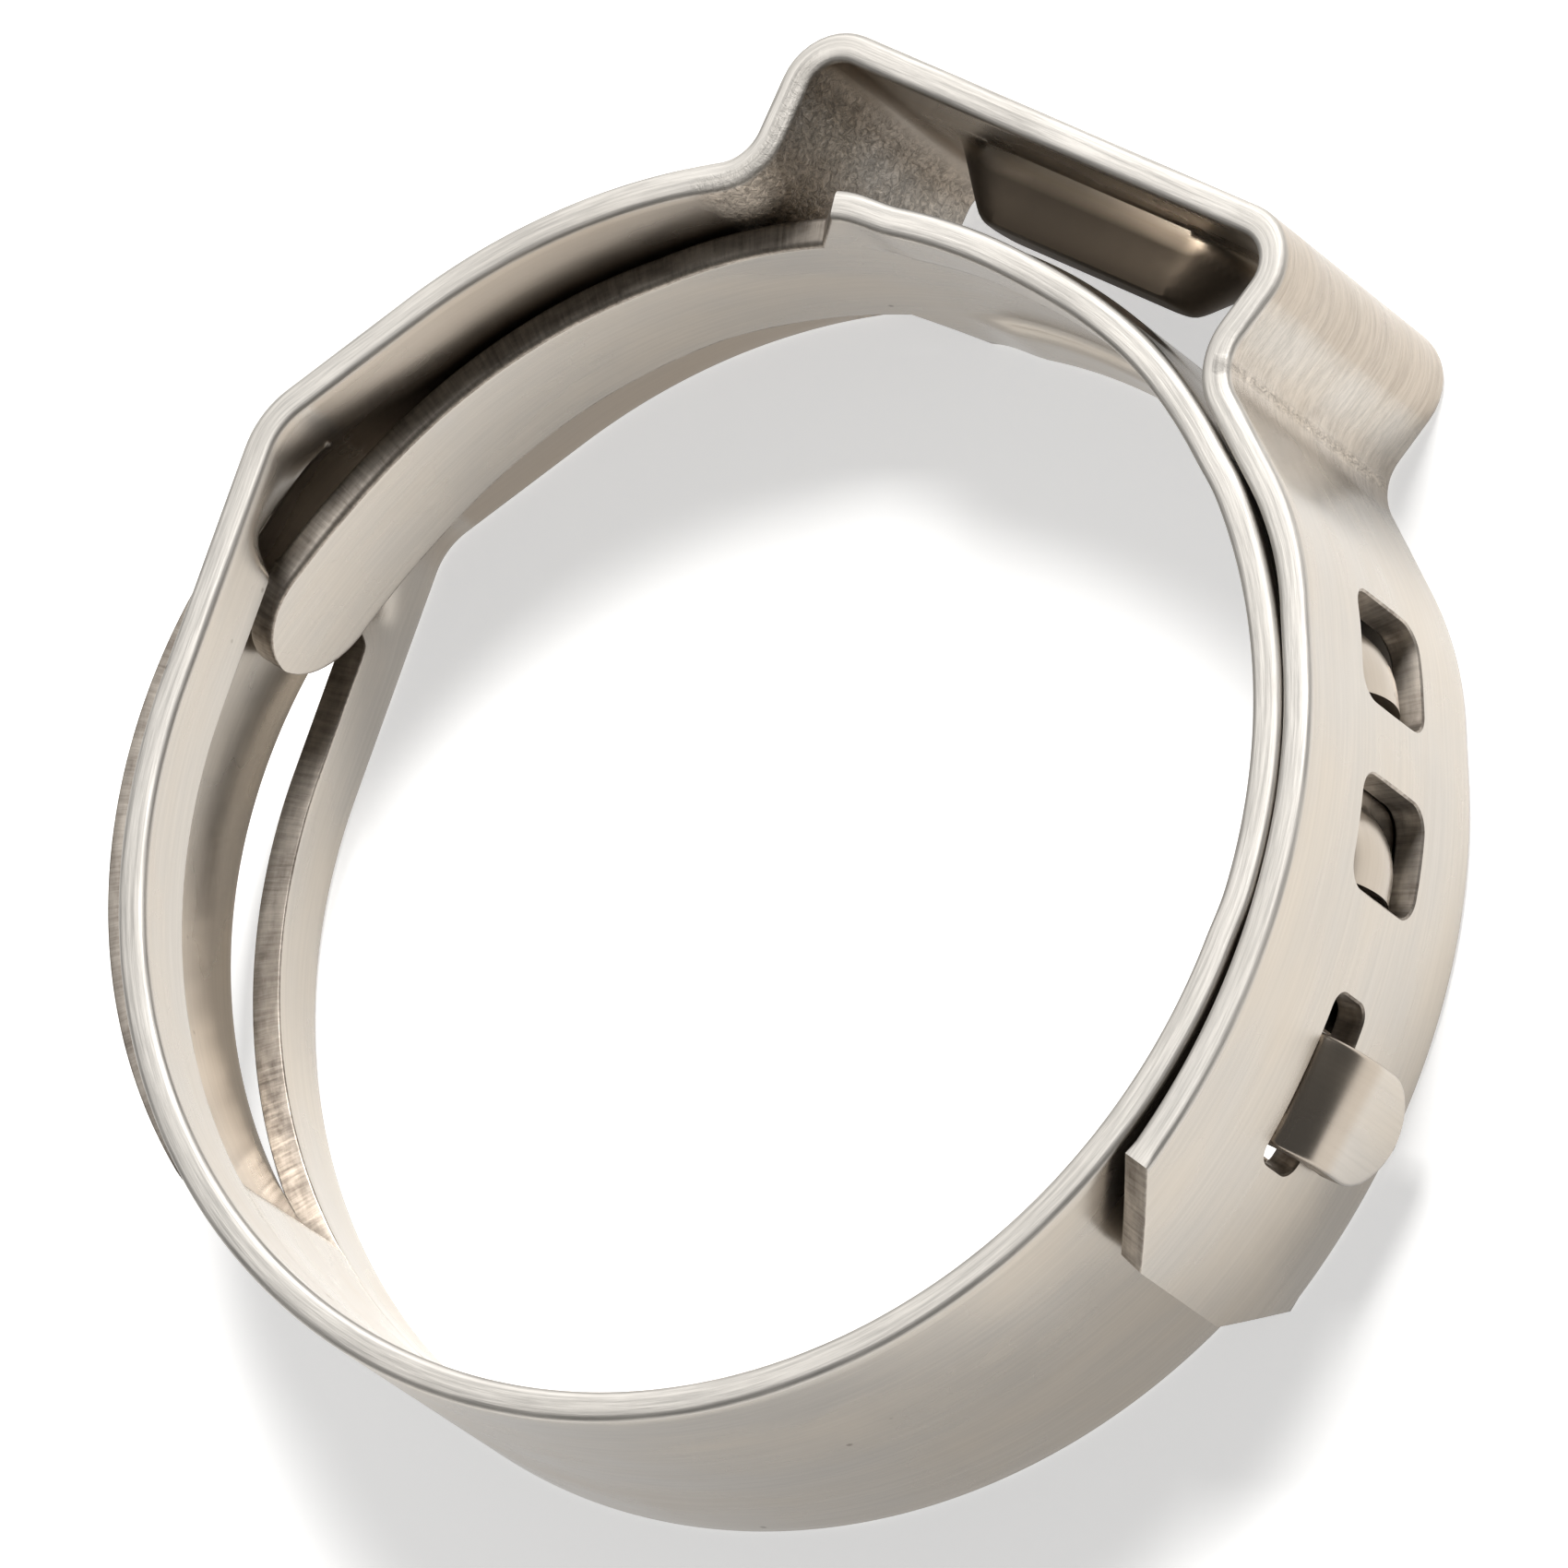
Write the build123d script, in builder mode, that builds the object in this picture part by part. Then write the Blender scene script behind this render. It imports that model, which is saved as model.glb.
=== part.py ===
from build123d import *
import os
from math import asin, cos, degrees, radians, sin, tan

# Ear hose clamp: one strip of stainless steel wound into a ring and folded into an ear.
# +Z is the axis of the ring, z = 0 is the edge it lies on, the ear is at +Y, angles run from +X.

# Strip and ring
strip_w = 7.0        # width of the strip, along Z
strip_t = 0.6        # thickness of the strip
edge_break = 0.13    # bevel that takes the sharpness off the strip's long edges
bore_r = 11.65       # inner radius of the ring
lap_gap = 0.08       # free space between the overlapping layers
lap_r = bore_r + strip_t + lap_gap    # inner face of the outer layer
mid_z = strip_w / 2

# Free end of the outer layer
tail_r = 13.5        # the tail is straighter than the ring
tail_from = 20.0     # angle at which the tail leaves the ring's curve
tail_end = -19.2     # angle of the end edge
tail_bevel_top = (7.0, 2.07)     # upper corner: length along the strip in degrees, width across it
tail_bevel_low = (4.4, 1.62)     # lower corner, the same

# Lift of the outer layer between the windows and the ear
lift_from = 34.0
lift_to = 57.0
lift_bend_r = 6.4

# Ear
ear_rise = 1.7       # inner face of the ear's top above the lap
ear_right = 5.74     # inner corner of the ear, right
ear_left = 5.39      # inner corner of the ear, left
lean_right = 10.0    # lean of the right leg, in degrees
lean_left = 4.8      # lean of the left leg
top_bend_r = 0.65    # inner radius of the two upper bends
foot_bend_r = 1.0    # outer radius of the right foot
foot_bend_l = 0.9    # outer radius of the left foot
foot_run = 0.775     # how far past the left corner the foot joins the ring's curve

# Dimple pressed into the top of the ear
dimple_depth = 1.35
dimple_wall = 0.45
dimple_top = (7.5, 2.35)     # length and width of the swelling where it leaves the inner face
dimple_low = (5.2, 1.2)      # the same at its bottom
dimple_r = 0.35

# Step from the outer level down to the rails, and the pressed-out strap between them
step_from = 150.0    # the strip runs straight from here
rail_touch = 190.0   # the rails join the ring's curve here
step_bend_r = 1.4
split_before = 0.63  # the strip is slit in three this far before the corner of the step
rail_w = 1.55        # width of each rail
strap_lean = 172.0   # angle at which the strap stands furthest out
strap_out = 1.15     # how far it stands out from the rails there
strap_slack = 0.075  # straight length between the start of the slits and the strap's bend
strap_tighter = 0.85     # the strap's long curve has this much less radius than the ring
strap_touch = 256.0  # the strap is back in the ring here

# Neck and tongue of the inner layer
neck_from = 100.0
shoulder = (107.0, 111.8)    # angles over which the strip narrows
neck_w = 3.9
tongue_w = 3.04
tongue_from = 130.0
tongue_bend_from = 160.0
tongue_r = 19.0
tongue_end = 183.4
tongue_tip_r = 1.5

# Windows of the outer layer and hooks of the inner layer
window_at = (23.1, 39.65)
window_len = 2.15
window_w = 2.6
window_z = 3.3
window_r = 0.5
hook_gap = 0.12      # free space between a hook's face and the window's edge
hook_half = 1.24     # half the width of a hook at its sheared face
hook_len = 1.6
hook_rise = 0.58
hook_wall = 0.65

# Slot of the outer layer and tab of the inner layer
slot_at = 1.8
slot_len = 3.36
slot_z = (2.68, 3.94)
slot_r = 0.35
tab_at = 0.8
tab_w = 2.3
tab_gap = 0.08       # free space around the tab
tab_end_z = 1.05
tab_tip_r = 1.1
tab_bend_r = 0.6     # inner radius of the tab's fold
tab_hole_end = 0.75  # lower end of the opening the tab leaves behind

# Raised middle of the inner layer, below the ear
swell = (68.0, 106.0)
swell_w = 3.6
swell_rise = 0.1


def polar(r, angle):
    return (r * cos(radians(angle)), r * sin(radians(angle)))


def crossing(p, a, q, b):
    # point where the line through p at angle a meets the line through q at angle b
    across = cos(radians(a)) * sin(radians(b)) - sin(radians(a)) * cos(radians(b))
    along = ((q[0] - p[0]) * sin(radians(b)) - (q[1] - p[1]) * cos(radians(b))) / across
    return (p[0] + along * cos(radians(a)), p[1] + along * sin(radians(a)))


def facing(angle, r=0.0, z=0.0):
    # plane square to the radius at an angle: x runs round the ring, y along the axis
    x, y = polar(r, angle)
    turn = radians(angle)
    return Plane(origin=(x, y, z), x_dir=(-sin(turn), cos(turn), 0), z_dir=(cos(turn), sin(turn), 0))


def long_edges(part):
    # the strip's own edges: everything at the two widths but the short ends
    sides = part.edges().filter_by(lambda e: abs(e.length - strip_t) > 0.005)
    low = sides.filter_by(lambda e: abs(e.bounding_box().max.Z) < 0.001)
    high = sides.filter_by(lambda e: abs(e.bounding_box().min.Z - strip_w) < 0.001)
    return low + high


# Where the straight runs meet
ear_top = lap_r + ear_rise
foot_left = 90 + degrees(asin((ear_left + foot_run) / lap_r))
corner_right = (ear_right, ear_top)
corner_left = (-ear_left, ear_top)
foot_right = crossing(corner_right, 90 - lean_right, polar(lap_r, lift_to), lift_to + 90)
foot_left_corner = crossing(corner_left, 90 + lean_left, polar(lap_r, foot_left), foot_left + 90)
lift_mid = (lift_from + lift_to) / 2
lift_peak = polar(lap_r / cos(radians(lift_mid - lift_from)), lift_mid)
step_turn = radians(rail_touch - step_from)
split_run = (bore_r - lap_r * cos(step_turn)) / sin(step_turn) - split_before
strap_turn = radians(strap_lean - step_from)
strap_run = (bore_r + strap_out - lap_r * cos(strap_turn)) / sin(strap_turn) - split_run
strap_bend = (strap_run - strap_slack) / tan(strap_turn / 2)
strap_r = bore_r - strap_tighter
split = (polar(lap_r, step_from)[0] + split_run * cos(radians(step_from + 90)),
         polar(lap_r, step_from)[1] + split_run * sin(radians(step_from + 90)))
step_corner = crossing(split, step_from + 90, polar(bore_r, rail_touch), rail_touch + 90)
strap_start = crossing(split, step_from + 90, polar(bore_r + strap_out, strap_lean), strap_lean + 90)
strap_finish = crossing(strap_start, strap_lean + 90, polar(bore_r, strap_touch), strap_touch + 90)

# Outer layer: tail, lift, ear and left shoulder, up to the slits
with BuildPart() as outer:
    with BuildSketch():
        with BuildLine():
            JernArc(polar(lap_r, tail_from), (sin(radians(tail_from)), -cos(radians(tail_from))),
                    tail_r, (tail_end - 1 - tail_from) * lap_r / tail_r)
            CenterArc((0, 0), lap_r, tail_from, lift_from - tail_from)
            FilletPolyline(polar(lap_r, lift_from), lift_peak, foot_right, corner_right, corner_left,
                           foot_left_corner, polar(lap_r, foot_left),
                           radius=(lift_bend_r, foot_bend_r + strip_t, top_bend_r, top_bend_r,
                                   foot_bend_l + strip_t))
            CenterArc((0, 0), lap_r, foot_left, step_from - foot_left)
            Line(polar(lap_r, step_from), split)
            offset(amount=strip_t, side=Side.LEFT)
        make_face()
    extrude(amount=strip_w)
    chamfer(long_edges(outer), edge_break)
    # windows for the hooks, slot for the tab
    for angle in window_at:
        with BuildSketch(facing(angle, bore_r, window_z)):
            RectangleRounded(window_len, window_w, window_r)
        extrude(amount=3, mode=Mode.SUBTRACT)
    with BuildSketch(facing(slot_at, bore_r, (slot_z[0] + slot_z[1]) / 2)):
        RectangleRounded(slot_len, slot_z[1] - slot_z[0], slot_r)
    extrude(amount=3, mode=Mode.SUBTRACT)
    # free end with its two bevels
    with BuildSketch(facing(tail_end, bore_r)):
        with BuildLine():
            run_top = (lap_r + strip_t) * radians(tail_bevel_top[0])
            run_low = (lap_r + strip_t) * radians(tail_bevel_low[0])
            Polyline((run_top * 1.1, strip_w + tail_bevel_top[1] * 0.1),
                     (0, strip_w - tail_bevel_top[1]),
                     (0, tail_bevel_low[1]),
                     (run_low * 1.1, -tail_bevel_low[1] * 0.1),
                     (-3, -tail_bevel_low[1]),
                     (-3, strip_w + tail_bevel_top[1]),
                     close=True)
        make_face()
    extrude(amount=3, mode=Mode.SUBTRACT)

# Dimple in the ear's top: a swelling on the inner face, hollow from the outer one
dimple_plane = Plane(origin=(0, ear_top, mid_z), x_dir=(1, 0, 0), z_dir=(0, -1, 0))
dimple_slope = (dimple_top[1] - dimple_low[1]) / 2 / dimple_depth
dimple_slide = (dimple_top[0] - dimple_low[0]) / 2 / dimple_depth
with BuildPart() as dimple:
    with BuildSketch(dimple_plane.offset(-strip_t / 2)):
        SlotOverall(dimple_top[0] + dimple_slide * strip_t, dimple_top[1] + dimple_slope * strip_t)
    with BuildSketch(dimple_plane.offset(dimple_depth)):
        SlotOverall(*dimple_low)
    loft()
    fillet(faces().sort_by(Axis.Y)[0].edges(), dimple_r)
with BuildPart() as hollow:
    with BuildSketch(dimple_plane.offset(-strip_t - 0.1)):
        SlotOverall(dimple_top[0] + dimple_slide * (2 * strip_t + 0.2) - 2 * dimple_wall,
                    dimple_top[1] + dimple_slope * (2 * strip_t + 0.2) - 2 * dimple_wall)
    with BuildSketch(dimple_plane.offset(dimple_depth - dimple_wall)):
        SlotOverall(dimple_low[0] - dimple_wall, dimple_low[1] - dimple_wall)
    loft()

# Rails: the two edges of the strip step down to the ring
with BuildPart() as rails:
    with BuildSketch():
        with BuildLine():
            FilletPolyline(split, step_corner, polar(bore_r, rail_touch), radius=step_bend_r)
            CenterArc((0, 0), bore_r, rail_touch, strap_touch - rail_touch)
            offset(amount=strip_t, side=Side.RIGHT)
        make_face()
    extrude(amount=strip_w)
    chamfer(long_edges(rails), edge_break)
    with BuildSketch(Plane.XY.offset(rail_w)):
        Rectangle(40, 40)
    extrude(amount=strip_w - 2 * rail_w, mode=Mode.SUBTRACT)

# Strap: the middle of the strip, pressed outward between the rails
with BuildPart() as strap:
    with BuildSketch(Plane.XY.offset(rail_w)):
        with BuildLine():
            FilletPolyline(split, strap_start, strap_finish, polar(bore_r, strap_touch),
                           radius=(strap_bend, strap_r))
            offset(amount=strip_t, side=Side.RIGHT)
        make_face()
    extrude(amount=strip_w - 2 * rail_w)

# Inner layer: round the bottom and up below the outer layer
with BuildPart() as ring:
    with BuildSketch():
        with BuildLine():
            CenterArc((0, 0), bore_r, strap_touch, 360 + neck_from - strap_touch)
            offset(amount=strip_t, side=Side.RIGHT)
        make_face()
    extrude(amount=strip_w)
    chamfer(long_edges(ring), edge_break)

# Neck: the inner layer narrows behind the ear
with BuildPart() as neck:
    with BuildSketch():
        with BuildLine():
            CenterArc((0, 0), bore_r, neck_from, tongue_from - neck_from)
            offset(amount=strip_t, side=Side.RIGHT)
        make_face()
    extrude(amount=strip_w)
    chamfer(long_edges(neck), edge_break)
    mid_angle = (neck_from + tongue_from) / 2
    mid_r = bore_r + strip_t / 2
    for side in (1, -1):
        with BuildSketch(facing(mid_angle, bore_r - 1, mid_z)):
            with BuildLine():
                Polyline((mid_r * sin(radians(shoulder[0] - mid_angle)), side * (strip_w / 2 + 0.01)),
                         (mid_r * sin(radians(shoulder[1] - mid_angle)), side * neck_w / 2),
                         (mid_r * sin(radians(tongue_from - mid_angle)), side * tongue_w / 2),
                         (mid_r, side * tongue_w / 2),
                         (mid_r, side * strip_w),
                         (mid_r * sin(radians(shoulder[0] - mid_angle)), side * strip_w),
                         close=True)
            make_face()
        extrude(amount=3, mode=Mode.SUBTRACT)

# Tongue: a round-ended strip that lies between the rails, under the strap
with BuildPart() as tongue:
    with BuildSketch(Plane.XY.offset(mid_z - tongue_w / 2)):
        with BuildLine():
            CenterArc((0, 0), bore_r, tongue_from, tongue_bend_from - tongue_from)
            JernArc(polar(bore_r, tongue_bend_from),
                    (-sin(radians(tongue_bend_from)), cos(radians(tongue_bend_from))),
                    tongue_r, (tongue_end - tongue_bend_from) * bore_r / tongue_r)
            offset(amount=strip_t, side=Side.RIGHT)
        make_face()
    extrude(amount=tongue_w)
    tip = faces().filter_by(GeomType.PLANE).sort_by(Axis.Y)[0]
    fillet(tip.edges().filter_by(lambda e: abs(e.length - strip_t) < 0.005), tongue_tip_r)

# Hooks: swellings with a sheared face that bears on the window's edge, straight at first and then
# rounded off like the end of a ball
hook_r = (hook_half ** 2 + hook_rise ** 2) / (2 * hook_rise)
hook_centre = bore_r + strip_t + hook_rise - hook_r
hook_straight = hook_len - hook_half
hook_shift = degrees((window_len / 2 - hook_gap) / (lap_r + strip_t / 2))
hook_places = [Location((*polar(hook_centre, a - hook_shift), window_z), (0, 0, a - hook_shift))
               for a in window_at]
with BuildPart() as hooks:
    with Locations(hook_places):
        with Locations((0, hook_straight, 0)):
            Sphere(hook_r, arc_size3=180)
        Cylinder(hook_r, hook_straight, rotation=(-90, 0, 0), align=(Align.CENTER, Align.CENTER, Align.MIN))
    Cylinder(bore_r + strip_t / 2, 30, mode=Mode.SUBTRACT)
with BuildPart() as hook_hollows:
    with Locations(hook_places):
        with Locations((0, hook_straight, 0)):
            Sphere(hook_r - hook_wall, arc_size3=180)
        Cylinder(hook_r - hook_wall, hook_straight, rotation=(-90, 0, 0),
                 align=(Align.CENTER, Align.CENTER, Align.MIN))

# Tab: lanced from the inner layer, up through the slot and folded over the outer layer
tab_turn = radians(tab_at)
tab_side = Plane(origin=(0, 0, 0), x_dir=(cos(tab_turn), sin(tab_turn), 0),
                 z_dir=(sin(tab_turn), -cos(tab_turn), 0))
tab_face_z = slot_z[1] - tab_gap
tail_swing = radians(tail_from - tab_at)
tail_off = tail_r - (tail_r - lap_r) * cos(tail_swing)
tab_top = tail_off + strip_t + tab_gap + strip_t
root_r = 0.1
tab_root_z = tab_face_z + 0.5
with BuildPart() as tab:
    with BuildSketch(tab_side):
        with BuildLine():
            FilletPolyline((bore_r + strip_t, tab_root_z), (bore_r + strip_t, tab_face_z),
                           (tab_top, tab_face_z), (tab_top, tab_end_z),
                           radius=(root_r, tab_bend_r + strip_t))
            Line((tab_top, tab_end_z), (tab_top - strip_t, tab_end_z))
            FilletPolyline((tab_top - strip_t, tab_end_z), (tab_top - strip_t, tab_face_z - strip_t),
                           (bore_r, tab_face_z - strip_t), (bore_r, tab_root_z),
                           radius=(tab_bend_r, root_r + strip_t))
            Line((bore_r, tab_root_z), (bore_r + strip_t, tab_root_z))
        make_face()
    extrude(amount=tab_w / 2, both=True)
    tab_tip = faces().sort_by(Axis.Z)[0]
    fillet(tab_tip.edges().filter_by(lambda e: abs(e.length - strip_t) < 0.005), tab_tip_r)

# Raised middle of the inner layer, below the ear
with BuildPart() as swelling:
    with BuildSketch(Plane.XY.offset(mid_z - swell_w / 2)):
        with BuildLine():
            CenterArc((0, 0), bore_r + strip_t / 2, swell[0], swell[1] - swell[0])
            offset(amount=strip_t / 2 + swell_rise, side=Side.RIGHT)
        make_face()
    extrude(amount=swell_w)
with BuildPart() as swell_hollow:
    with BuildSketch(Plane.XY.offset(mid_z - swell_w / 2)):
        with BuildLine():
            CenterArc((0, 0), bore_r - strip_t / 2, swell[0], swell[1] - swell[0])
            offset(amount=strip_t / 2 + swell_rise, side=Side.RIGHT)
        make_face()
    extrude(amount=swell_w)

# Join everything into the one strip it is
with BuildPart() as clamp_band:
    add(outer.part)
    add(dimple.part)
    add(hollow.part, mode=Mode.SUBTRACT)
    add(rails.part)
    add(strap.part)
    add(ring.part)
    add(neck.part)
    add(tongue.part)
    add(hooks.part)
    add(hook_hollows.part, mode=Mode.SUBTRACT)
    add(swelling.part)
    add(swell_hollow.part, mode=Mode.SUBTRACT)
    # opening that the tab was lanced from
    with BuildSketch(facing(tab_at, bore_r - 1, (tab_hole_end + tab_face_z + root_r) / 2)):
        Rectangle(tab_w + 2 * tab_gap, tab_face_z + root_r - tab_hole_end)
    extrude(amount=1 + strip_t + lap_gap / 2, mode=Mode.SUBTRACT)
    add(tab.part)

clamp_band.part.label = "clamp_band"
os.makedirs("parts", exist_ok=True)
export_step(clamp_band.part, "parts/clamp_band.step")
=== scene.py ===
"""Ear hose clamp, dressed: one strip of stainless steel wound into a ring and folded into an ear."""

from math import atan2, ceil, cos, hypot, pi, radians, sin, sqrt

import bmesh
import bpy
import numpy as np
from bpy.props import FloatProperty, PointerProperty, StringProperty
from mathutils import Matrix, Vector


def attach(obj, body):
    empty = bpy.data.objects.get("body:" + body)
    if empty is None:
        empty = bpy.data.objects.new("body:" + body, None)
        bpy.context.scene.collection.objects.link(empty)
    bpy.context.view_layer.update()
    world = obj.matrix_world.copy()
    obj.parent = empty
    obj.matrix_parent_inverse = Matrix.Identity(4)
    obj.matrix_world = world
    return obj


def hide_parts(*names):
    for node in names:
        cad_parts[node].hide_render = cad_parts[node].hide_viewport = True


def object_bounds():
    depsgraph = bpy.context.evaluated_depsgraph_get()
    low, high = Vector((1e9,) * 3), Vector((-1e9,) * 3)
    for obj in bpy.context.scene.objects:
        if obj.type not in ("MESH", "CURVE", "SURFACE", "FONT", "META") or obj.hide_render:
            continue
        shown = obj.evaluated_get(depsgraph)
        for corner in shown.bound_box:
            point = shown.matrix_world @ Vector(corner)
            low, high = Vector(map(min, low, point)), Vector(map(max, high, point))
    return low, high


bl_info = {
    "name": "Ear hose clamp",
    "version": (1, 0, 0),
    "blender": (4, 5, 0),
    "location": "View3D > Sidebar > Ear Clamp",
    "description": "Builds a folded strip hose clamp with its steel finish",
    "category": "Object",
}

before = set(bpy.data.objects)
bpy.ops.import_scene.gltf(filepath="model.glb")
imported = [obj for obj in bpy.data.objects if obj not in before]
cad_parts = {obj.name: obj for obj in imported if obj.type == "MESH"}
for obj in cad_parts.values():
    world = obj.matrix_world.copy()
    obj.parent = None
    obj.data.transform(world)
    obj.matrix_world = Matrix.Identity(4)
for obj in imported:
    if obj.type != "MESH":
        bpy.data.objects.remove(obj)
CAD_BOX = [[float(v) for v in corner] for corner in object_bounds()]

MM = 0.001           # one millimetre in Blender's metres
NODE = "clamp_band"

# Ring and layers, in millimetres and degrees
STRIP_W = 7.0
STRIP_T = 0.6
MID_Z = STRIP_W / 2
BORE_R = 11.65
LAP_GAP = 0.08
TAIL_R = 13.5
TAIL_FROM = 20.0
TAIL_END = -19.2
TAIL_BEVEL_TOP = (7.0, 2.07)
TAIL_BEVEL_LOW = (4.4, 1.62)

# Lift of the outer layer, ear and left foot
LIFT_FROM = 34.0
LIFT_TO = 57.0
LIFT_BEND_R = 6.4
FOOT_BEND_RIGHT = 1.0
FOOT_BEND_LEFT = 0.9
FOOT_LEFT = 120.0

# Stretch of the left shoulder whose inner face gets painted shade in the bends' brown tone, in degrees
PAINTED_SHADE_SHOULDER = (114.0, 166.0)

# Dimple in the ear's top: length and width at the inner face and at its bottom
DIMPLE_TOP = (7.5, 2.35)
DIMPLE_LOW = (5.2, 1.2)
DIMPLE_WALL = 0.45

# Step, rails and strap
STEP_FROM = 150.0
RAIL_TOUCH = 190.0
STEP_BEND_R = 1.4
SPLIT_RUN = 2.8
RAIL_W = 1.55
STRAP_LEAN = 172.0
STRAP_OUT = 1.15
STRAP_BEND = 4.0
STRAP_R = 10.8
STRAP_TOUCH = 256.0
STRAP_ARCH = 0.05    # how far the strap's middle stands out from its two edges
STRAP_DROP = (234.5, 241.0)  # angles over which the strap comes down to the rails
RAIL_HELD = (172.9, 177.3)   # angles over which the rails' slit edges leave the strap's level

# Neck and tongue
SHOULDER = (107.0, 111.8)
NECK_W = 3.9
TONGUE_W = 3.04
TONGUE_FROM = 130.0
TONGUE_BEND_FROM = 160.0
TONGUE_R = 19.0
TONGUE_END = 183.4
TONGUE_TIP_R = 1.5
TIP_HALF = 0.01      # half width that the tongue's tip ends in
NECK_EASE = 0.25     # run over which the rolled edge gives way to the cut one

# Windows and hooks, slot and tab
WINDOW_AT = (23.1, 39.65)
WINDOW_LEN = 2.15
WINDOW_W = 2.6
WINDOW_Z = 3.3
WINDOW_R = 0.5
HOOK_FACE = (18.75, 35.9)    # angles of the hooks' sheared faces
HOOK_HALF = 1.24
HOOK_LEN = 1.6
HOOK_RISE = 0.58
HOOK_WALL = 0.65
SLOT_AT = 1.8
SLOT_LEN = 3.36
SLOT_Z = (2.68, 3.94)
SLOT_R = 0.35
TAB_AT = 0.8
TAB_W = 2.3
TAB_GAP = 0.08
TAB_END_Z = 1.05
TAB_TIP_R = 1.1
TAB_BEND_R = 0.6
TAB_HOLE_END = 0.75
TAB_ROOT_RUN = 0.5
TAB_ROOT_R = 0.1
TAB_HOLE_R = 0.12

# Inner layer where it lies against the outer one, and its pressed margins below the ear
SNUG = (13.0, 52.0)
SNUG_RISE = 0.05
PRESSED = (66.0, 106.5)
PRESSED_HALF = (1.63, 2.03)  # from the middle line to where a margin starts and is fully pressed
PRESSED_DEPTH = 0.17
PRESSED_BACK = 0.35          # rise of the strip between the margins, as a share of that depth
PRESSED_RUNS = (4.5, 1.3)    # lengths over which the margins come and go

# Fineness of the surfaces
STEP_S = 0.19        # length of a cell along the strip
FINE_S = 0.115       # the same on bends, hooks and the dimple
MID_CELLS = 28       # cells across the middle of the strip
TAB_CELLS = 14       # cells across the tab
RAIL_CELLS = 7       # cells across each rail
EDGE_CELLS = 4       # cells round each quarter of an edge
WALL_CELLS = 3       # cells through the thickness of a cut
HOLE_MARGIN = 0.45   # from a window or the slot to the plain cells round it
TAB_HOLE_MARGIN = 0.4        # the same along the tab's opening
TAB_HOLE_FREE = 0.5          # and across it
RING_SHARES = (0.0, 0.3, 0.6, 0.85, 1.0)  # rings from those plain cells to the opening's edge
SHEAR = 0.006        # half the run over which a hook's sheared face drops
EASE = 0.3           # run over which the free end's cut edge grows into the rolled one
BEND_REACH = 0.35    # reach over which a bend's mark is averaged
TAB_BEND_REACH = 0.2         # the same on the tab
DIMPLE_SOFT = 0.14   # softness of the dimple's rim and floor, as a share of its depth
CUT_R = 0.04         # rounding of a sheared edge
TONGUE_ROUND = 0.13  # rounding of the neck's and the tongue's edges
TAB_ROUND = 0.1      # rounding of the tab's edges
WELD = 1e-7          # metres within which corners are the same


def polar(radius, angle):
    """Place at an angle on a circle round the axis."""
    return np.array((radius * cos(radians(angle)), radius * sin(radians(angle))))


def crossing(p, a, q, b):
    """Where the line through p at angle a, in degrees, meets the line through q at angle b."""
    along_a = np.array((cos(radians(a)), sin(radians(a))))
    along_b = np.array((cos(radians(b)), sin(radians(b))))
    across = along_a[0] * along_b[1] - along_a[1] * along_b[0]
    gap = np.asarray(q) - np.asarray(p)
    return np.asarray(p) + along_a * (gap[0] * along_b[1] - gap[1] * along_b[0]) / across


def soft_step(x, low, high):
    """0 below low and 1 above high, with a smooth cubic rise between them."""
    t = np.clip((x - low) / (high - low), 0, 1)
    return t * t * (3 - 2 * t)


def bump(x, low, high, soft):
    """1 between low and high, falling smoothly to 0 over the distance soft outside them."""
    return soft_step(x, low - soft, low) * (1 - soft_step(x, high, high + soft))


def rounded_runs(corners, radii):
    """Straight runs through the corner points with an arc in each inner corner.

    An arc of radius r that turns by a takes r tan(a / 2) from each of its two straight runs.
    Returns (length, turn) pairs, the turn in radians.
    """
    corners = np.asarray(corners, float)
    legs = np.diff(corners, axis=0)
    headings = np.arctan2(legs[:, 1], legs[:, 0])
    turns = (np.diff(headings) + pi) % (2 * pi) - pi
    cut = np.asarray(radii) * np.tan(np.abs(turns) / 2)
    straight = np.hypot(legs[:, 0], legs[:, 1])
    straight[:-1] -= cut
    straight[1:] -= cut
    runs = [(straight[0], 0.0)]
    for turn, radius, length in zip(turns, radii, straight[1:]):
        runs.append((radius * abs(turn), turn))
        runs.append((length, 0.0))
    return runs


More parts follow.
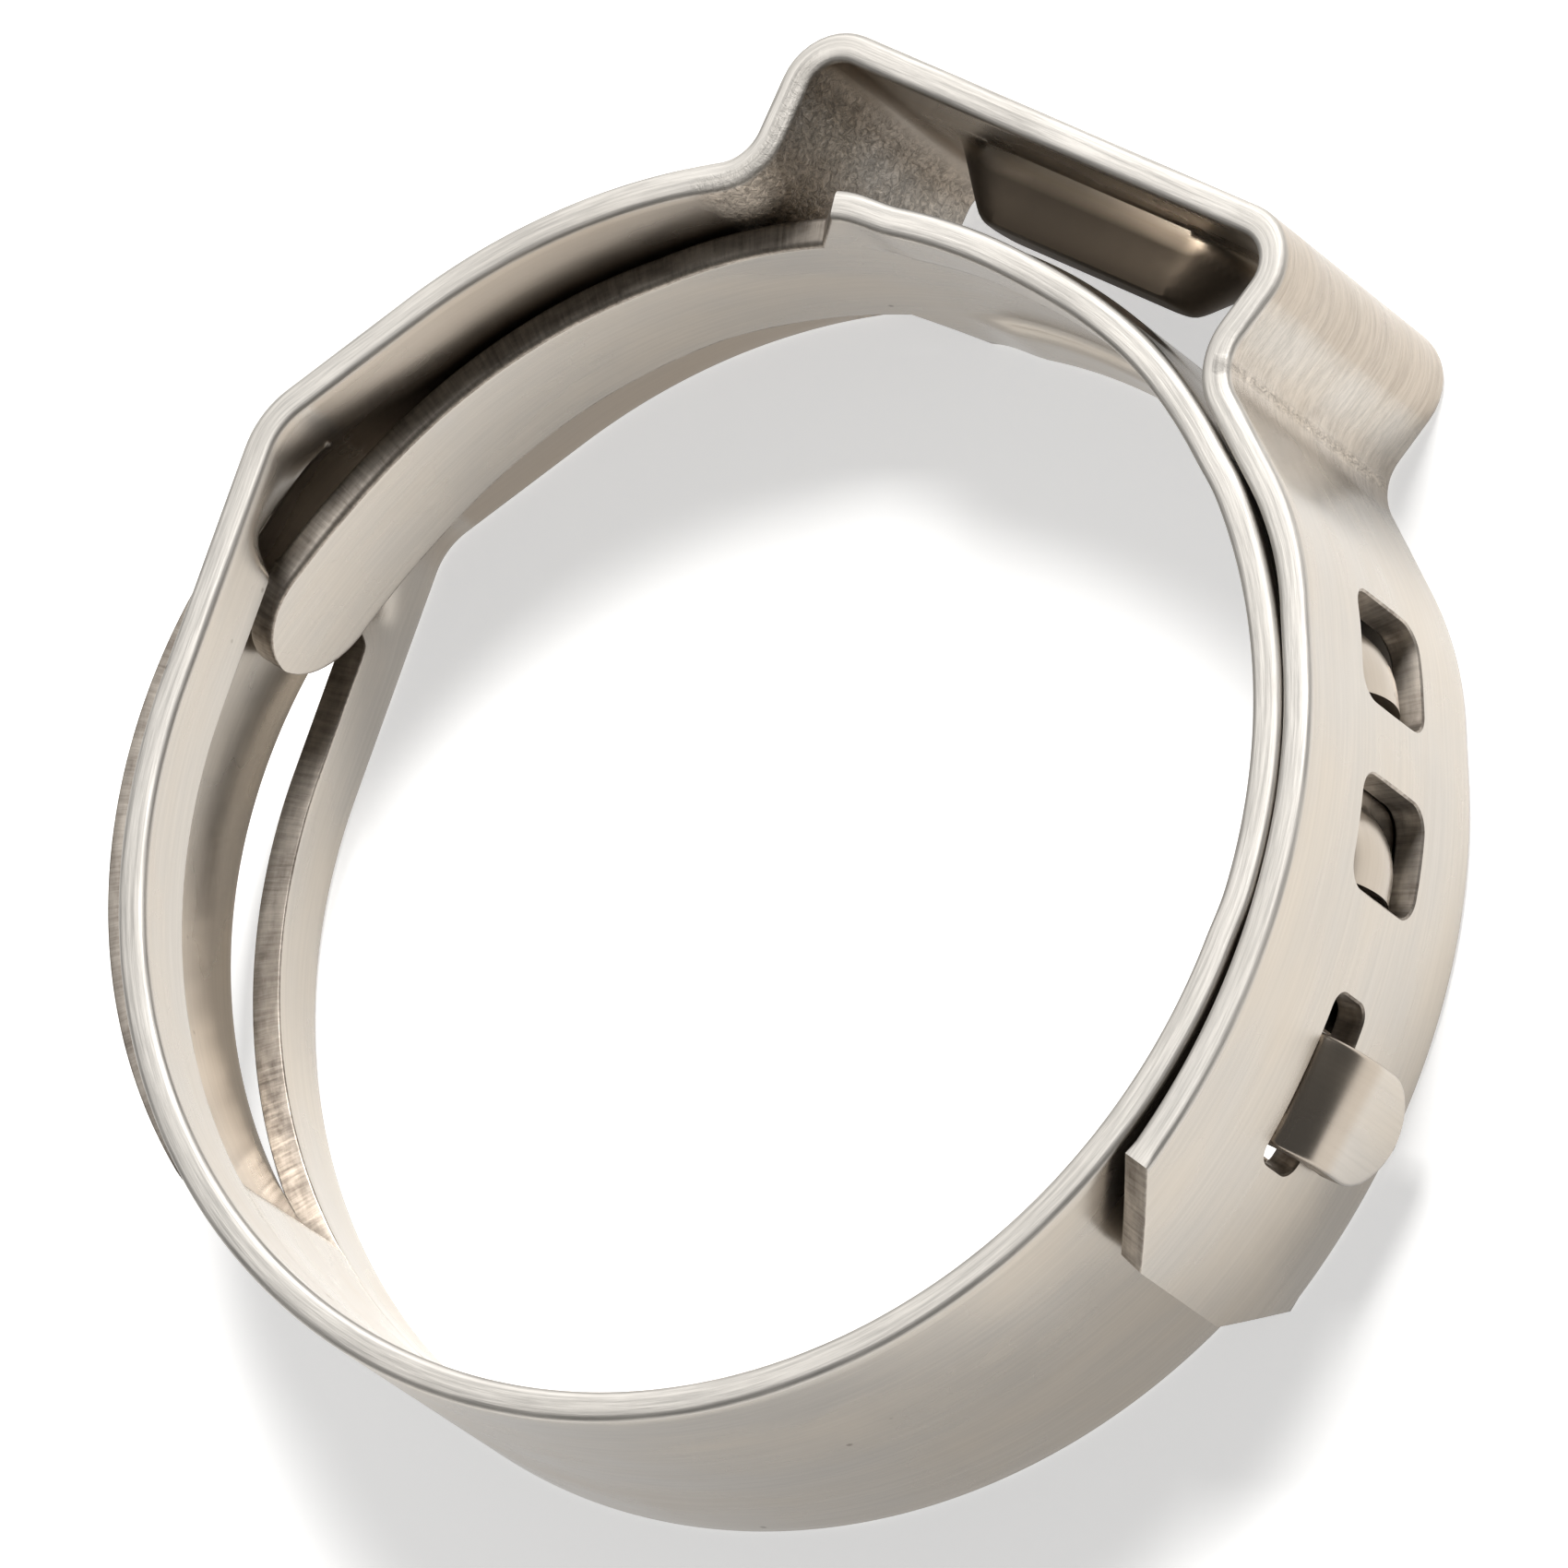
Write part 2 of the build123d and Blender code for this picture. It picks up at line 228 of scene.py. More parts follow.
class Route:
    """A flat route made of arcs and straight runs that meet without a kink."""

    def __init__(self, start, heading, runs):
        runs = [run for run in runs if run[0] > 1e-9]
        length = np.array([run[0] for run in runs])
        turn = np.array([run[1] for run in runs])
        self.begin = np.concatenate(([0.0], np.cumsum(length)))
        self.heading = heading + np.concatenate(([0.0], np.cumsum(turn)))
        self.curve = turn / length
        self.total = self.begin[-1]
        chord = length * np.sinc(turn / 2 / pi)
        middle = self.heading[:-1] + turn / 2
        self.x = start[0] + np.concatenate(([0.0], np.cumsum(chord * np.cos(middle))))
        self.y = start[1] + np.concatenate(([0.0], np.cumsum(chord * np.sin(middle))))

    def run_of(self, s):
        """Number of the run that each distance lies in."""
        return np.clip(np.searchsorted(self.begin, s, side="right") - 1, 0, len(self.curve) - 1)

    def at(self, s):
        """Place x, y and right-hand normal at distances s along the route.

        Inside a run of curvature k the chord over d is d sinc(k d / 2), at half the turn.
        """
        run = self.run_of(s)
        ahead = s - self.begin[run]
        turned = self.curve[run] * ahead
        chord = ahead * np.sinc(turned / 2 / pi)
        middle = self.heading[run] + turned / 2
        x = self.x[run] + chord * np.cos(middle)
        y = self.y[run] + chord * np.sin(middle)
        heading = self.heading[run] + turned
        return x, y, np.sin(heading), -np.cos(heading)

    def at_angle(self, angle):
        """Distance along the route at which it passes an angle round the axis, in degrees."""
        s = np.linspace(0, self.total, 6000)
        x, y, _, _ = self.at(s)
        turned = np.degrees(np.unwrap(np.arctan2(y, x)))
        return float(np.interp(turned[0] + (angle - turned[0]) % 360, turned, s))

    def bending(self, s, reach):
        """How sharply the strip is bent near s: curvature averaged over a reach, 1 at 1 mm radius."""
        spread = np.linspace(-reach, reach, 9)
        near = np.clip(s[..., None] + spread, 0, self.total)
        return np.clip(np.abs(self.curve[self.run_of(near)]).mean(axis=-1), 0, 1)


def routes(lap_r, ear):
    """The four routes of the strip's inner face: outer layer, rails, strap and inner layer."""
    top = lap_r + ear["rise"]
    right = (ear["right"], top)
    left = (-ear["left"], top)
    foot_right = crossing(right, 90 - ear["lean_right"], polar(lap_r, LIFT_TO), LIFT_TO + 90)
    foot_left = crossing(left, 90 + ear["lean_left"], polar(lap_r, FOOT_LEFT), FOOT_LEFT + 90)
    lift_mid = (LIFT_FROM + LIFT_TO) / 2
    lift_peak = polar(lap_r / cos(radians(lift_mid - LIFT_FROM)), lift_mid)
    centre = polar(lap_r - TAIL_R, TAIL_FROM)
    ray = polar(1, TAIL_END)
    reach = ray @ centre + sqrt((ray @ centre) ** 2 - centre @ centre + TAIL_R ** 2)
    tail_start = ray * reach
    tail_angle = atan2(*(tail_start - centre)[::-1])
    tail_turn = radians(TAIL_FROM) - tail_angle
    lift = rounded_runs(
        (polar(lap_r, LIFT_FROM), lift_peak, foot_right, right, left, foot_left, polar(lap_r, FOOT_LEFT)),
        (LIFT_BEND_R, FOOT_BEND_RIGHT + STRIP_T, ear["bend"], ear["bend"], FOOT_BEND_LEFT + STRIP_T))
    before = [(TAIL_R * tail_turn, tail_turn), arc(lap_r, LIFT_FROM - TAIL_FROM)]
    after = [arc(lap_r, STEP_FROM - FOOT_LEFT), (SPLIT_RUN, 0.0)]
    outer = Route(tail_start, tail_angle + pi / 2, before + lift + after)

    split = np.array((outer.x[-1], outer.y[-1]))
    heading = radians(STEP_FROM + 90)
    step = crossing(split, STEP_FROM + 90, polar(BORE_R, RAIL_TOUCH), RAIL_TOUCH + 90)
    down = rounded_runs((split, step, polar(BORE_R, RAIL_TOUCH)), (STEP_BEND_R,))
    rails = Route(split, heading, down + [arc(BORE_R, STRAP_TOUCH - RAIL_TOUCH)])
    lean = polar(BORE_R + STRAP_OUT, STRAP_LEAN)
    strap_start = crossing(split, STEP_FROM + 90, lean, STRAP_LEAN + 90)
    strap_finish = crossing(strap_start, STRAP_LEAN + 90, polar(BORE_R, STRAP_TOUCH), STRAP_TOUCH + 90)
    strap = Route(split, heading, rounded_runs(
        (split, strap_start, strap_finish, polar(BORE_R, STRAP_TOUCH)), (STRAP_BEND, STRAP_R)))

    tongue_turn = radians(TONGUE_END - TONGUE_BEND_FROM) * BORE_R / TONGUE_R
    inner = Route(polar(BORE_R, STRAP_TOUCH), radians(STRAP_TOUCH + 90),
                  [arc(BORE_R, 360 + TONGUE_BEND_FROM - STRAP_TOUCH), (TONGUE_R * tongue_turn, tongue_turn)])
    return outer, rails, strap, inner


def arc(radius, angle):
    """A run round a circle, as (length, turn)."""
    return (radius * radians(angle), radians(angle))


def rows(breaks, fine=()):
    """Distances that fill the breaks evenly, more closely inside the fine stretches."""
    breaks = np.unique(np.round(breaks, 6))
    parts = []
    for low, high in zip(breaks[:-1], breaks[1:]):
        middle = (low + high) / 2
        cell = FINE_S if any(a <= middle <= b for a, b in fine) else STEP_S
        count = max(1, ceil((high - low) / cell))
        parts.append(np.linspace(low, high, count, endpoint=False))
    return np.concatenate(parts + [breaks[-1:]])


def full_lines():
    """The edge's rounding, lines across the flat of the strip, and the same lines as shares of the flat.

    A line runs along each side of the strap, with even cells between those two and outside them.
    """
    rim = frame_edge()
    lines = np.concatenate((
        np.linspace(rim, RAIL_W, RAIL_CELLS + 1)[:-1],
        np.linspace(RAIL_W, STRIP_W - RAIL_W, MID_CELLS + 1),
        np.linspace(STRIP_W - RAIL_W, STRIP_W - rim, RAIL_CELLS + 1)[1:]))
    return rim, lines, (lines - rim) / (STRIP_W - 2 * rim)


def frame_edge():
    """Rounding of the strip's rolled edges, in millimetres."""
    return bpy.context.scene.clamp_strip.edge_round / MM


class Shell:
    """Gathers sheets of points in strip coordinates and welds them into one closed mesh.

    Strip coordinates are s along the strip, w across it and n through it, in millimetres.
    """

    def __init__(self):
        self.points = []
        self.strip = []
        self.marks = []
        self.faces = []
        self.cuts = []
        self.count = 0

    def add(self, place, strip, marks, faces, cut):
        """Adds points with their strip coordinates, and faces as rows of point numbers."""
        self.points.append(place.reshape(-1, 3))
        self.strip.append(strip.reshape(-1, 3))
        self.marks.append(marks.reshape(-1, 3))
        faces = np.asarray(faces).reshape(len(faces), -1)
        self.faces += (faces + self.count).tolist()
        self.cuts += np.broadcast_to(cut, len(faces)).tolist()
        self.count += place.reshape(-1, 3).shape[0]

    def mesh(self, name):
        """One mesh of every sheet: corners welded, faces turned outward, edges sharp past 32 degrees."""
        made = bpy.data.meshes.new(name)
        made.from_pydata((np.concatenate(self.points) * MM).tolist(), [], self.faces)
        for title, values in (("strip", self.strip), ("marks", self.marks)):
            layer = made.attributes.new(title, "FLOAT_VECTOR", "POINT")
            layer.data.foreach_set("vector", np.concatenate(values).astype(np.float32).ravel())
        made.polygons.foreach_set("material_index", np.array(self.cuts, np.int32))
        work = bmesh.new()
        work.from_mesh(made)
        bmesh.ops.remove_doubles(work, verts=work.verts, dist=WELD)
        bmesh.ops.recalc_face_normals(work, faces=work.faces)
        work.to_mesh(made)
        work.free()
        made.polygons.foreach_set("use_smooth", np.ones(len(made.polygons), bool))
        made.set_sharp_from_angle(angle=radians(32))
        made.update()
        return made


def wind(route, s, w, n):
    """Carries points into the ring: along the route by s, across it by w, out from it by n."""
    x, y, normal_x, normal_y = route.at(s)
    return np.stack((x + normal_x * n, y + normal_y * n, w), -1)


def quads(count_rows, count_columns, closed=False):
    """Faces of a grid of points, as rows of four point numbers; closed joins the last column to the first."""
    row = np.arange(count_rows - 1)[:, None]
    column = np.arange(count_columns - (not closed))[None, :]
    after = (column + 1) % count_columns
    first = row * count_columns
    second = first + count_columns
    return np.stack((first + column, second + column, second + after, first + after), -1)


def bar_outline(face_w, low, high, round_low, round_high, wall):
    """Points round a flat bar, as columns of w and n: two faces, two walls and four quarter circles.

    The first half runs over the outer face to the high side, round a quarter circle, down the wall and
    round again. The second half runs back the same way over the inner face to the low side, with n
    counted from the other face. wall holds the shares of a wall's height at which it has points.
    """
    turn = np.linspace(0, pi / 2, EDGE_CELLS + 1)[1:]
    halves_w, halves_n = [], []
    for flat, edge, rounding, side in ((face_w, high, round_high, 1), (face_w[:, ::-1], low, round_low, -1)):
        corner_w = edge - side * rounding * (1 - np.sin(turn))
        corner_n = STRIP_T - rounding * (1 - np.cos(turn))
        wall_n = STRIP_T - rounding - (STRIP_T - 2 * rounding) * wall
        half_n = np.concatenate((STRIP_T + 0 * flat, corner_n, wall_n, STRIP_T - corner_n[:, ::-1]), 1)
        halves_w.append(np.concatenate((flat, corner_w, edge + 0 * wall_n, corner_w[:, ::-1]), 1))
        halves_n.append(half_n if side > 0 else STRIP_T - half_n)
    return np.concatenate(halves_w, 1), np.concatenate(halves_n, 1)


def band(shell, route, s, low, high, columns, round_low, round_high, offset, swell, marks,
         holes=(), wall_low=False, wall_high=False, cap_start=False, cap_end=False):
    """A flat bar's outline carried along a route.

    columns are the face's lines from 0 to 1. swell gives how far the outer and the inner face are pushed
    out at (s, w). Each hole leaves a rectangle of cells out of both faces and fills it again with a ring
    of cells round its outline.
    """
    s = np.asarray(s)
    low, high, round_low, round_high = (np.broadcast_to(v, s.shape)[:, None] for v in
                                        (low, high, round_low, round_high))
    face_w = low + round_low + (high - low - round_low - round_high) * columns[None, :]
    wall = np.linspace(0, 1, WALL_CELLS + 1)[1:-1]
    loop_w, loop_n = bar_outline(face_w, low, high, round_low, round_high, wall)
    width = len(columns)
    side = 2 * EDGE_CELLS + WALL_CELLS
    loop_s = np.broadcast_to(s[:, None], loop_w.shape)
    place = wind(route, loop_s, loop_w, pushed(swell, loop_s, loop_w, loop_n))
    strip = np.stack((loop_s + offset, loop_w, loop_n), -1)
    marked = marks(loop_s, loop_w, loop_n)
    faces = quads(len(s), loop_w.shape[1], closed=True)
    keep = np.ones(faces.shape[:2], bool)
    for hole in holes:
        first, last = np.searchsorted(s, (hole["from"] - 1e-5, hole["to"] - 1e-5))
        left, right = hole["columns"]
        keep[first:last, left:right] = False
        mirror = 2 * width + side - 2
        keep[first:last, mirror - right:mirror - left] = False
        pierce(shell, route, s[first:last + 1], face_w[first:last + 1, left:right + 1], hole, offset, swell,
               marks)
    cut = np.zeros(faces.shape[:2], int)
    cut[:, width - 1:width - 1 + side] = wall_high if np.ndim(wall_high) == 0 else wall_high[:, None]
    cut[:, 2 * width + side - 2:] = wall_low if np.ndim(wall_low) == 0 else wall_low[:, None]
    shell.add(place, strip, marked, faces[keep], cut[keep])
    for wanted, row in ((cap_start, 0), (cap_end, -1)):
        if wanted:
            shell.add(place[row], strip[row], marked[row], [np.arange(loop_w.shape[1])], 1)


def opening(at, across, length, width, radius, margin, columns):
    """A hole in a band: its middle, size and corner radius, and the rectangle of cells that it replaces."""
    return {"from": at - length / 2 - margin, "to": at + length / 2 + margin, "size": (length, width),
            "middle": (at, across), "radius": radius, "columns": columns}


def outline_of(across, along, size, radius):
    """Moves points on a rectangle's border onto the same rectangle with rounded corners.

    A point past the start of a corner's arc goes to the arc, straight out from the arc's centre.
    """
    half_along, half_across = size[0] / 2, size[1] / 2
    over_along = np.abs(along) - (half_along - radius)
    over_across = np.abs(across) - (half_across - radius)
    corner = (over_along > 0) & (over_across > 0)
    reach = np.where(corner, np.hypot(over_along, over_across), 1)
    along = np.where(corner, np.sign(along) * (half_along - radius + radius * over_along / reach), along)
    across = np.where(corner, np.sign(across) * (half_across - radius + radius * over_across / reach), across)
    return across, along


def pierce(shell, route, s, w, hole, offset, swell, marks):
    """A hole's surroundings on both faces, and the wall through the strip.

    The border of the left-out rectangle is scaled down to the hole's size, its corners are rounded, and
    rings between the two borders are their weighted means.
    """
    far_s, far_w = (np.concatenate((grid[0, :-1], grid[:-1, -1], grid[-1, :0:-1], grid[:0:-1, 0]))
                    for grid in (np.broadcast_to(s[:, None], w.shape), w))
    mid_s, mid_w = (s[0] + s[-1]) / 2, (w[0, 0] + w[0, -1]) / 2
    along = (far_s - mid_s) / (s[-1] - s[0]) * hole["size"][0]
    across = (far_w - mid_w) / (w[0, -1] - w[0, 0]) * hole["size"][1]
    across, along = outline_of(across, along, hole["size"], hole["radius"])
    near_s, near_w = hole["middle"][0] + along, hole["middle"][1] + across
    away = np.hypot(along, across)
    lip_s, lip_w = near_s + CUT_R * along / away, near_w + CUT_R * across / away
    share = np.array(RING_SHARES)[:, None]
    ring_s, ring_w = (far * (1 - share) + lip * share for far, lip in ((far_s, lip_s), (far_w, lip_w)))
    for level in (STRIP_T, 0.0):
        add_rings(shell, route, ring_s, ring_w, np.full(ring_s.shape, level), offset, swell, marks, 0)
    depth = np.linspace(STRIP_T - CUT_R, CUT_R, WALL_CELLS + 1)
    levels = np.concatenate(([STRIP_T], depth, [0.0]))[:, None]
    wall_s, wall_w = (np.stack((lip, *[near] * len(depth), lip))
                      for lip, near in ((lip_s, near_s), (lip_w, near_w)))
    add_rings(shell, route, wall_s, wall_w, np.broadcast_to(levels, wall_s.shape), offset, swell, marks, 1)


def pushed(swell, s, w, n):
    """Distance out from the route after the pushes of the outer and the inner face, shared by depth."""
    outer, inner = swell(s, w)
    return n + outer * (n / STRIP_T) + inner * (1 - n / STRIP_T)


def add_rings(shell, route, s, w, n, offset, swell, marks, cut):
    """Adds a sheet made of closed rings of points."""
    faces = quads(s.shape[0], s.shape[1], closed=True).reshape(-1, 4)
    place = wind(route, s, w, pushed(swell, s, w, n))
    shell.add(place, np.stack((s + offset, w, n), -1), marks(s, w, n), faces, cut)


def dimple_push(s, w, middle, depth):
    """Inward push of the ear's dimple on the outer and on the inner face.

    The slope joins a long round-ended outline at the top to a smaller one at the bottom. Each point lies
    on one outline between them, found by halving, and its depth is that outline's share of the whole,
    rounded off at both ends.
    """
    out = []
    top, low = np.array(DIMPLE_TOP) / 2, np.array(DIMPLE_LOW) / 2
    mouth = top + (top - low) / depth * STRIP_T - DIMPLE_WALL
    for wide, narrow, deep in ((mouth, low - DIMPLE_WALL / 2, depth + STRIP_T - DIMPLE_WALL),
                               (top, low, depth)):
        share = outline_share(np.abs(s - middle), np.abs(w - MID_Z), wide, narrow)
        rounded = 0.5 * (1 + np.hypot(share, DIMPLE_SOFT) - np.hypot(share - 1, DIMPLE_SOFT))
        out.append(-deep * np.where(share < -0.3, 0, rounded))
    return out


def outline_share(along, across, top, low):
    """Share from the top outline (0) to the bottom one (1) of the round-ended outline through a point."""
    near = np.full(along.shape, -0.6)
    far = np.full(along.shape, 1.35)
    for _ in range(26):
        share = (near + far) / 2
        half = top[1] + (low[1] - top[1]) * share
        length = top[0] + (low[0] - top[0]) * share
        ahead = np.maximum(along - (length - half), 0)
        inside = np.hypot(ahead, across) < half
        near = np.where(inside, share, near)
        far = np.where(inside, far, share)
    return (near + far) / 2


def hook_push(s, w, places):
    """Outward push of the hooks on each face: part of a round bar, then of a ball, sheared off at the start.

    The height at a distance d from the bar's line or the ball's middle is sqrt(r squared - d squared),
    less the part of the radius r that lies below the face.
    """
    ball = (HOOK_HALF ** 2 + HOOK_RISE ** 2) / (2 * HOOK_RISE)
    sunk = ball - HOOK_RISE
    pushes = np.zeros((2, *s.shape))
    for place in places:
        flat = np.maximum(s - place - (HOOK_LEN - HOOK_HALF), 0) ** 2 + (w - WINDOW_Z) ** 2
        for push, radius, below in zip(pushes, (ball, ball - HOOK_WALL), (sunk, sunk - STRIP_T)):
            height = np.sqrt(np.maximum(radius ** 2 - flat, 0)) - below
            push += np.where(s > place, np.maximum(height, 0), 0)
    return pushes


def outer_layer(shell, route, offset, depth):
    """Free end, windows, lift, ear and left shoulder, up to the slits."""
    rim, _, columns = full_lines()
    mean_r = BORE_R + STRIP_T + LAP_GAP + STRIP_T
    runs = [mean_r * radians(bevel[0]) for bevel in (TAIL_BEVEL_LOW, TAIL_BEVEL_TOP)]
    middle_columns = (RAIL_CELLS, RAIL_CELLS + MID_CELLS)
    holes = [opening(route.at_angle(SLOT_AT), sum(SLOT_Z) / 2, SLOT_LEN, SLOT_Z[1] - SLOT_Z[0], SLOT_R,
                     HOLE_MARGIN, middle_columns)]
    holes += [opening(route.at_angle(at), WINDOW_Z, WINDOW_LEN, WINDOW_W, WINDOW_R, HOLE_MARGIN,
                      middle_columns) for at in WINDOW_AT]
    ends = [0.0, *runs, *(run + EASE for run in runs)]
    breaks = np.concatenate((route.begin, ends, [h["from"] for h in holes], [h["to"] for h in holes]))
    dimple_at = route.at_angle(90)
    s = rows(breaks, fine=((route.begin[3], route.begin[-3]),) + tuple((h["from"], h["to"]) for h in holes))
    low = np.interp(s, (0, runs[0]), (TAIL_BEVEL_LOW[1], 0))
    high = STRIP_W - np.interp(s, (0, runs[1]), (TAIL_BEVEL_TOP[1], 0))
    round_low, round_high = (np.interp(s, (run, run + EASE), (CUT_R, rim)) for run in runs)
    cut_low, cut_high = (((s[:-1] + s[1:]) / 2 < run).astype(int) for run in runs)

    def swell(along, across):
        return dimple_push(along, across, dimple_at, depth)

    leg_left = (route.begin[10] - 0.2, route.begin[12] + 0.2)
    leg_right = (route.begin[5] - 0.3, route.begin[8] + 0.1)
    foot = (route.begin[5] + route.begin[6]) / 2
    shoulder = [route.at_angle(at) for at in PAINTED_SHADE_SHOULDER]

    def marks(along, across, through):
        inside = through < STRIP_T / 2
        scuff = 0.8 * bump(along, foot - 0.1, foot + 0.1, 0.15)
        crinkle = np.where(inside, bump(along, *leg_left, 0.5), scuff)
        drawn = bump(along, *leg_right, 0.3) * ~inside
        # painted shade: the left shoulder's inner face is darkened with the bends' brown tone
        bend_and_shade = np.maximum(route.bending(along, BEND_REACH), 0.9 * inside * bump(along, *shoulder, 1.0))
        # painted shade: the whole dimple is darkened, carried as values from 1 to 2 in the bend mark, with
        # the dimple's dark tone
        deep = -swell(along, across)[1] / depth
        return np.stack((crinkle, drawn, np.maximum(bend_and_shade, 2 * soft_step(deep, 0.0, 0.3))), -1)

    band(shell, route, s, low, high, columns, round_low, round_high, offset, swell, marks, holes,
         wall_low=cut_low, wall_high=cut_high, cap_start=True)


def bend_marks(route, reach=BEND_REACH):
    """Marks of a stretch that shows only its bends."""
    def marks(along, across, through):
        bend_and_shade = route.bending(along, reach)
        return np.stack((0 * bend_and_shade, 0 * bend_and_shade, bend_and_shade), -1)
    return marks


def slit_rounding(route, s):
    """Rounding of the slit's edges: none at both ends, and next to none where rail and strap lie level."""
    back = route.at_angle(STRAP_DROP[1])
    leaves = route.at_angle(RAIL_HELD[0])
    ends = soft_step(s, 0.1, 0.5) * (1 - soft_step(s, route.total - 0.5, route.total - 0.1))
    open_part = soft_step(s, leaves - 0.3, leaves + 0.1) * (1 - soft_step(s, back - 0.6, back))
    return CUT_R * ends * (0.01 + 0.99 * open_part)


def both_rails(shell, route, strap, offset):
    """The two edges of the strip, stepping down to the ring beside the slits.

    Beside the slit each rail is drawn up to the strap's level over its first millimetres. The push is the
    distance between the two routes, times the square of the share of the rail's width from its outer edge.
    """
    rim = frame_edge()
    s = rows(route.begin, fine=((0.0, route.begin[3]),))
    ramp = slit_rounding(route, s)
    lines = np.linspace(0, 1, RAIL_CELLS + 1)
    marks = bend_marks(route)
    let_go = [route.at_angle(at) for at in RAIL_HELD]

    def swell(along, across):
        x, y, normal_x, normal_y = route.at(along)
        strap_x, strap_y, _, _ = strap.at(np.minimum(along, strap.total))
        apart = (strap_x - x) * normal_x + (strap_y - y) * normal_y
        inward = np.minimum(across, STRIP_W - across) / RAIL_W
        push = apart * (1 - soft_step(along, *let_go)) * inward ** 2
        return push, push

    band(shell, route, s, 0.0, RAIL_W, lines, rim, ramp, offset, swell, marks, wall_high=1)
    band(shell, route, s, STRIP_W - RAIL_W, STRIP_W, lines, ramp, rim, offset, swell, marks, wall_low=1)


def strap_between(shell, route, offset):
    """The middle of the strip, pressed out between the rails and slightly arched across.

    Past the drop the push is the distance back to the ring's inner face, so the strap lies level again.
    """
    s = rows(route.begin, fine=((0.0, route.begin[3]),))
    ramp = slit_rounding(route, s)
    half = STRIP_W / 2 - RAIL_W
    drop = [route.at_angle(at) for at in STRAP_DROP]

    def swell(along, across):
        x, y, _, _ = route.at(along)
        share = soft_step(along, 0.0, 3.0) * (1 - soft_step(along, *drop))
        arch = -STRAP_ARCH * share * ((across - MID_Z) / half) ** 2
        push = arch - soft_step(along, *drop) * (np.hypot(x, y) - BORE_R)
        return push, push

    band(shell, route, s, RAIL_W, STRIP_W - RAIL_W, np.linspace(0, 1, MID_CELLS + 1), ramp, ramp, offset,
         swell, bend_marks(route), wall_low=1, wall_high=1)


def inner_layer(shell, route, offset):
    """Ring, hooks, opening of the tab, shoulders, neck and round-ended tongue."""
    rim, lines, columns = full_lines()
    hooks = [route.at_angle(at) for at in HOOK_FACE]
    tab_face_z = SLOT_Z[1] - TAB_GAP
    hole_w = (TAB_HOLE_END, tab_face_z + TAB_ROOT_R)
    hole_columns = (1, int(np.argmin(np.abs(lines - hole_w[1] - TAB_HOLE_FREE))))
    hole = opening(route.at_angle(TAB_AT), sum(hole_w) / 2, TAB_W + 2 * TAB_GAP, hole_w[1] - hole_w[0],
                   TAB_HOLE_R, TAB_HOLE_MARGIN, hole_columns)
    necks = [route.at_angle(at) for at in (*SHOULDER, TONGUE_FROM)]
    tip = route.total - TONGUE_TIP_R
    tip_s = tip + TONGUE_TIP_R * np.sin(np.linspace(0, pi / 2, 14))
    fine = [(at - 0.1, at + 1.5 * HOOK_LEN) for at in hooks]
    breaks = np.concatenate((
        route.begin[:-1], necks, [necks[0] + NECK_EASE, hole["from"], hole["to"], tip_s[-1] - 0.001],
        tip_s[:-1], *[(at - SHEAR, at + SHEAR) for at in hooks]))
    s = rows(breaks, fine=fine + [(hole["from"], hole["to"])])
    half = np.interp(s, necks, (STRIP_W / 2, NECK_W / 2, TONGUE_W / 2))
    past = np.clip(s - tip, 0, TONGUE_TIP_R)
    half = half - TONGUE_TIP_R + np.sqrt(np.maximum(TONGUE_TIP_R ** 2 - past ** 2, 0)) + TIP_HALF * (past > 0)
    rounding = np.minimum(np.interp(s, (necks[0], necks[0] + NECK_EASE), (rim, TONGUE_ROUND)), half * 0.5)
    pressed = [route.at_angle(at) for at in PRESSED]
    snug = [route.at_angle(at) for at in SNUG]

    def swell(along, across):
        out, inside = hook_push(along, across, hooks)
        share = soft_step(along, pressed[0], pressed[0] + PRESSED_RUNS[0])
        share = share * (1 - soft_step(along, pressed[1] - PRESSED_RUNS[1], pressed[1]))
        margin = soft_step(np.abs(across - MID_Z), *PRESSED_HALF)
        press = PRESSED_DEPTH * share * (PRESSED_BACK * (1 - margin) - margin)
        press = press + SNUG_RISE * bump(along, *snug, 1.0)
        return out + press, inside + press

    def marks(along, across, through):
        # painted shade: the hooks are darkened with the bends' brown tone, more where they rise, up to 0.7
        bend_and_shade = np.clip(hook_push(along, across, hooks)[0] / HOOK_RISE, 0, 0.7)
        return np.stack((0 * bend_and_shade, 0 * bend_and_shade, bend_and_shade), -1)

    cut = ((s[:-1] + s[1:]) / 2 > necks[0]).astype(int)
    band(shell, route, s, MID_Z - half, MID_Z + half, columns, rounding, rounding, offset, swell,
         marks, [hole], wall_low=cut, wall_high=cut, cap_end=True)


